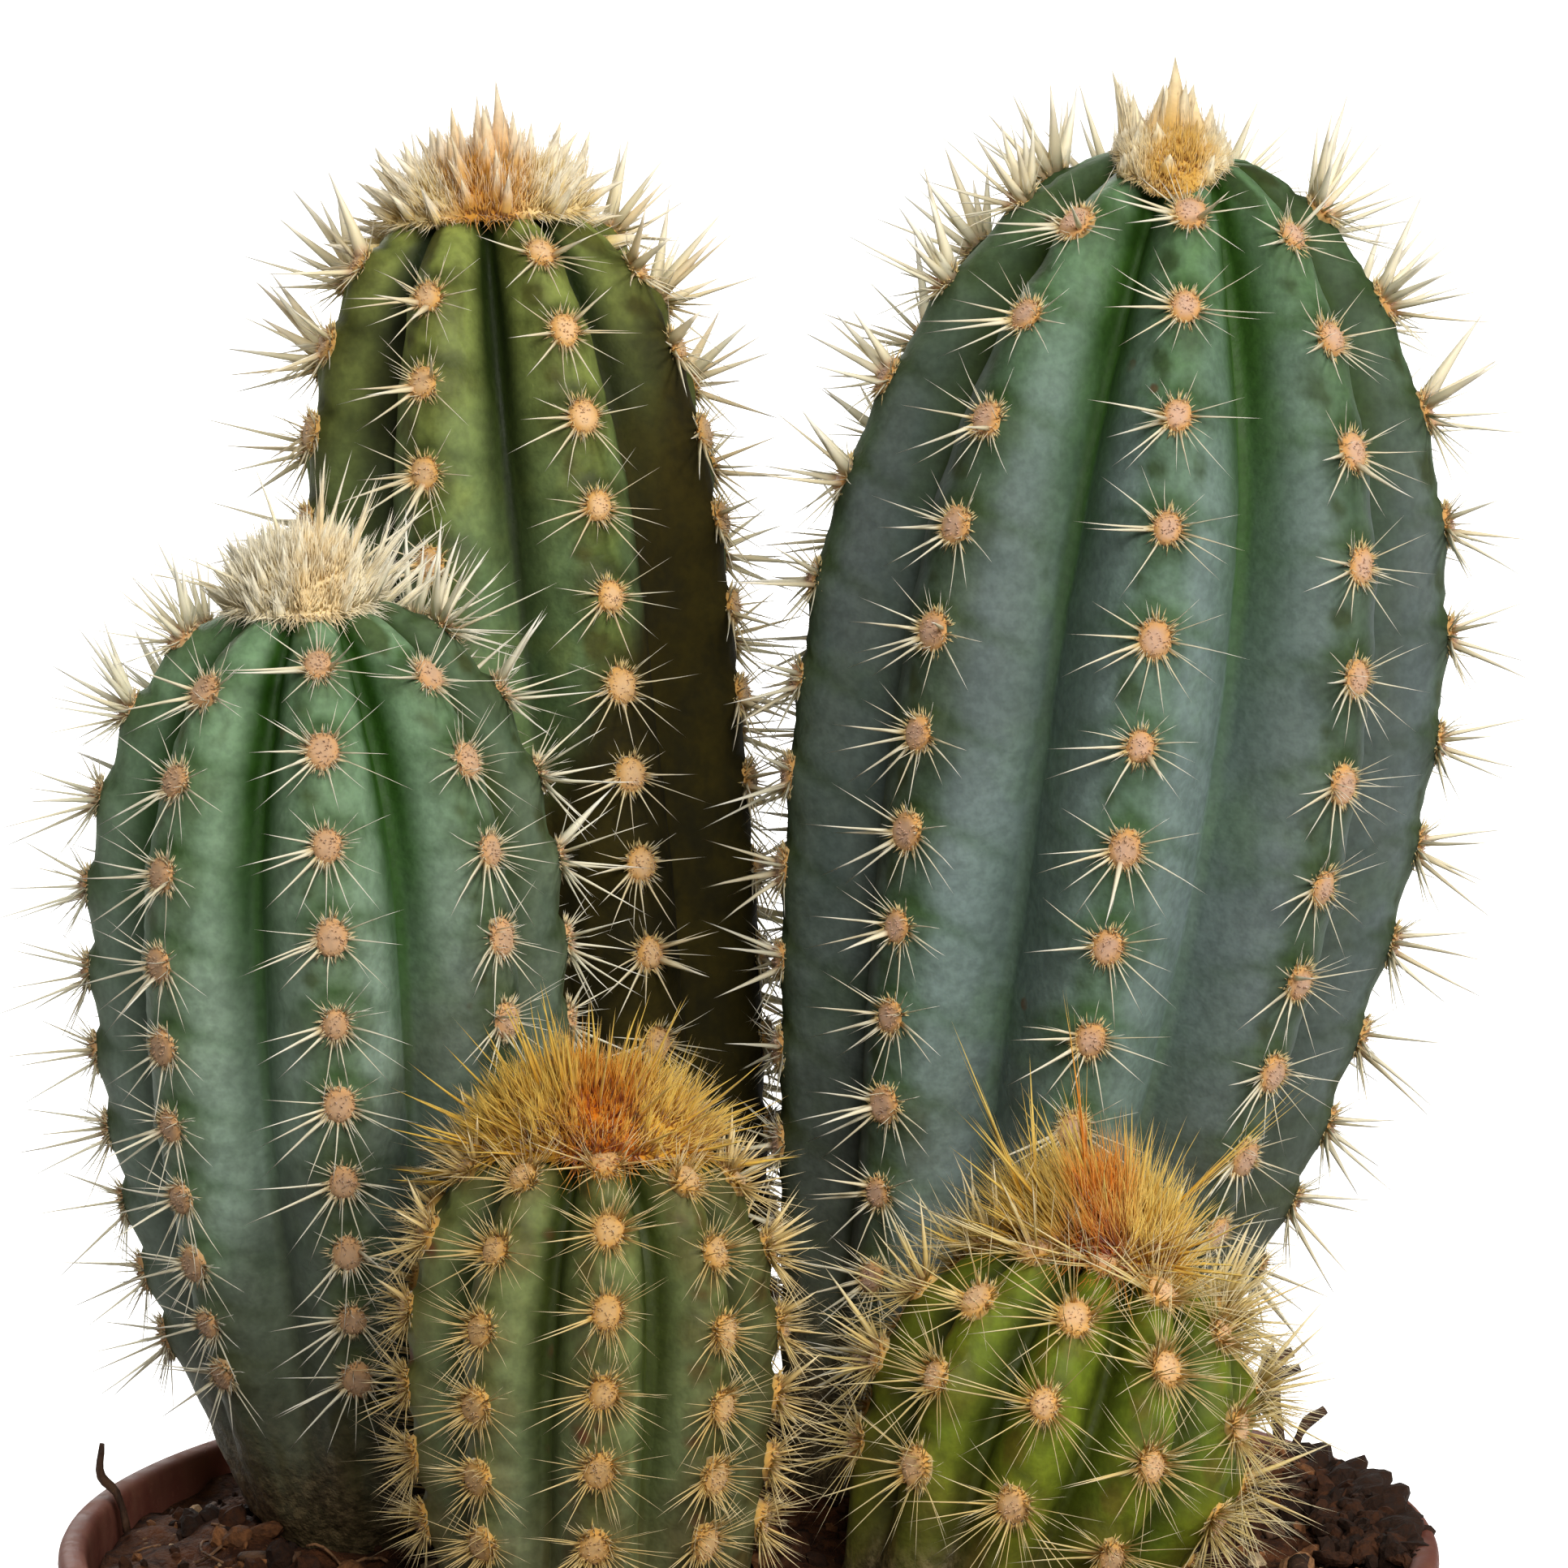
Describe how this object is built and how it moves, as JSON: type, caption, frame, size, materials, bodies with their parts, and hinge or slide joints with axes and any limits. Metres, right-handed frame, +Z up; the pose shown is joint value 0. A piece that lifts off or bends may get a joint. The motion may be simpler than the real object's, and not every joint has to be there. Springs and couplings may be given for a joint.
{
  "type": "potted tall cactus",
  "caption": "Ribbed column cacti of different heights with spiny areoles and woolly crowns, growing together in soil in a round brown plastic nursery pot.",
  "frame": {"origin": "middle of the pot's flat base, on the surface that it stands on", "axes": "+Z up along the stems, -Y towards the front, where the two short stems stand, +X to the right"},
  "size_m": [0.1302, 0.1302, 0.225],
  "materials": {
    "pot": "satin moulded plastic",
    "soil": "crumbly and matte",
    "stem_dark": "smooth waxy skin",
    "stem_blue": "smooth skin with a pale bloom",
    "stem_teal": "smooth skin with a pale bloom",
    "stem_green": "smooth waxy skin",
    "stem_yellow": "smooth waxy skin",
    "wool_tan": "matte wool and spines",
    "wool_cream": "matte wool and spines",
    "wool_gold": "matte wool and spines"
  },
  "bodies": {
    "root": {"pot": "pot", "soil": "soil", "stem_back_left": "stem_dark", "stem_back_right": "stem_blue", "stem_front_left": "stem_teal", "stem_front_mid": "stem_green", "stem_front_right": "stem_yellow", "crown_back_left": "wool_tan", "crown_back_right": "wool_tan", "crown_front_left": "wool_cream", "crown_front_mid": "wool_gold", "crown_front_right": "wool_gold"}
  },
  "joints": []
}
